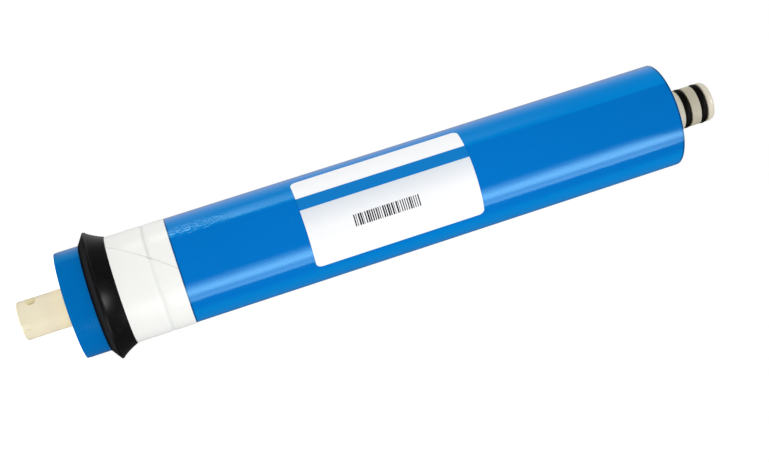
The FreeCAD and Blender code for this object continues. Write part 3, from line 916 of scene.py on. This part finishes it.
def white_floor(radius):
    """A round floor, white to the camera and dark to gloss."""
    fresh()
    bpy.ops.mesh.primitive_circle_add(vertices=96, radius=radius, fill_type="NGON",
                                      location=(0, 0, -0.1 * MM))
    floor = bpy.context.object
    floor.name = "floor"
    bpy.ops.object.transform_apply(location=True)
    white = bpy.data.materials.new("white floor")
    white.use_nodes = True
    tree = white.node_tree
    inputs = tree.nodes["Principled BSDF"].inputs
    inputs["Roughness"].default_value = 0.9
    inputs["Specular IOR Level"].default_value = 0.0
    inputs["Emission Color"].default_value = (0.45, 0.45, 0.45, 1.0)
    rays = add_node(tree, "ShaderNodeLightPath").outputs
    tree.links.new(rays["Is Camera Ray"], inputs["Emission Strength"])
    tree.links.new(mix_colour(tree, rays["Is Glossy Ray"], rgba((0.9,) * 3), rgba((0.05,) * 3)),
                   inputs["Base Color"])
    floor.data.materials.append(white)


def white_room(look):
    """The world: white to the camera, nearly even to matt surfaces, and shaped for gloss."""
    world = bpy.data.worlds.new("white room")
    bpy.context.scene.world = world
    world.use_nodes = True
    room = world.node_tree
    background = room.nodes["Background"]
    background.inputs["Color"].default_value = (1.0, 1.0, 1.0, 1.0)
    rays = add_node(room, "ShaderNodeLightPath").outputs
    ray = add_node(room, "ShaderNodeTexCoord").outputs["Generated"]
    # Gloss sees a dark room in front and a pale one behind the element, paler above the photograph
    x, y = add_node(room, "ShaderNodeSeparateXYZ", None, i0=ray).outputs[:2]
    share = reckon(room, "FRACT", reckon(room, "MULTIPLY_ADD", reckon(room, "ARCTAN2", x, y),
                                         1 / (2 * math.pi), -CAMERA_TURN / 360))
    behind = times(room, look.behind, steps(room, share, ROOM_ROUND))
    # Matt surfaces are lit evenly, apart from a little more light from below the photograph
    brighter_side = (1.0, -0.04, 0.0)
    facing = add_node(room, "ShaderNodeVectorMath", {"operation": "DOT_PRODUCT"}, i0=ray, i1=brighter_side)
    even = reckon(room, "MULTIPLY_ADD", facing.outputs["Value"], look.tilt, look.ambient)
    light = mix_level(room, rays["Is Glossy Ray"], even, behind)
    room.links.new(mix_level(room, rays["Is Camera Ray"], light, 1.0), background.inputs["Strength"])


class ELEMENT_OT_stage(bpy.types.Operator):
    """Set the white floor, the white room, the softboxes, the seal's light and the camera"""
    bl_idname = "element.stage"
    bl_label = "Stage"

    def execute(self, context):
        look = context.scene.element_stage
        white_floor(look.floor)
        white_room(look)
        softbox("low softbox", turn=-51, distance=1.0, low=-0.02, high=0.69, width=0.84,
                power=look.low_light, across=LOW_ACROSS, along=LOW_ALONG, slant=4.6)
        softbox("high softbox", turn=88.5, distance=0.5, low=0.03, high=0.5, width=0.215,
                power=look.high_light, across=HIGH_ACROSS, along=HIGH_ALONG)
        # A small lamp above leaves an oval gleam on the seal's flank
        place, target = Vector((0.135, -0.305, 0.64)), Vector((0.0057, -0.0244, 0.035))
        gloss_light("seal light", place, (place - target).normalized(), width=0.19, height=0.05,
                    power=look.gleam)

        bpy.ops.object.camera_add(location=CAMERA_PLACE)
        camera = context.object
        camera.name = "photo camera"
        camera.rotation_euler = turned(CAMERA_RIGHT, CAMERA_UP, CAMERA_RIGHT.cross(CAMERA_UP))
        camera.data.lens = look.lens
        camera.data.sensor_width = CAMERA_SENSOR
        camera.data.clip_start = 0.01
        context.scene.camera = camera
        context.scene.view_settings.view_transform = "Standard"
        return {"FINISHED"}


PIECES = [ELEMENT_OT_film, ELEMENT_OT_leaf, ELEMENT_OT_tube, ELEMENT_OT_seal, ELEMENT_OT_tape, ELEMENT_OT_label,
          ELEMENT_OT_stage]
SETTINGS = {"element_film": ELEMENT_PG_film, "element_seal": ELEMENT_PG_seal, "element_tape": ELEMENT_PG_tape,
            "element_tube": ELEMENT_PG_tube, "element_leaf": ELEMENT_PG_leaf, "element_label": ELEMENT_PG_label,
            "element_stage": ELEMENT_PG_stage}


class ELEMENT_PT_panel(bpy.types.Panel):
    """Lists the pieces and their settings"""
    bl_idname = "ELEMENT_PT_panel"
    bl_label = "Wound element"
    bl_space_type = "VIEW_3D"
    bl_region_type = "UI"
    bl_category = "Element"

    def draw(self, context):
        for operator in PIECES:
            self.layout.operator(operator.bl_idname)
        for name in SETTINGS:
            group = getattr(context.scene, name)
            box = self.layout.box()
            for key in group.__annotations__:
                box.prop(group, key)


CLASSES = [*SETTINGS.values(), *PIECES, ELEMENT_PT_panel]


def register():
    for kind in CLASSES:
        bpy.utils.register_class(kind)
    for name, kind in SETTINGS.items():
        setattr(bpy.types.Scene, name, bpy.props.PointerProperty(type=kind))


def unregister():
    for name in SETTINGS:
        delattr(bpy.types.Scene, name)
    for kind in reversed(CLASSES):
        bpy.utils.unregister_class(kind)


def main():
    register()
    bpy.ops.element.stage()
    bpy.ops.element.film()
    bpy.ops.element.leaf()
    bpy.ops.element.tube()
    bpy.ops.element.seal()
    bpy.ops.element.tape()
    bpy.ops.element.label()
    fresh()


if __name__ == "__main__":
    main()
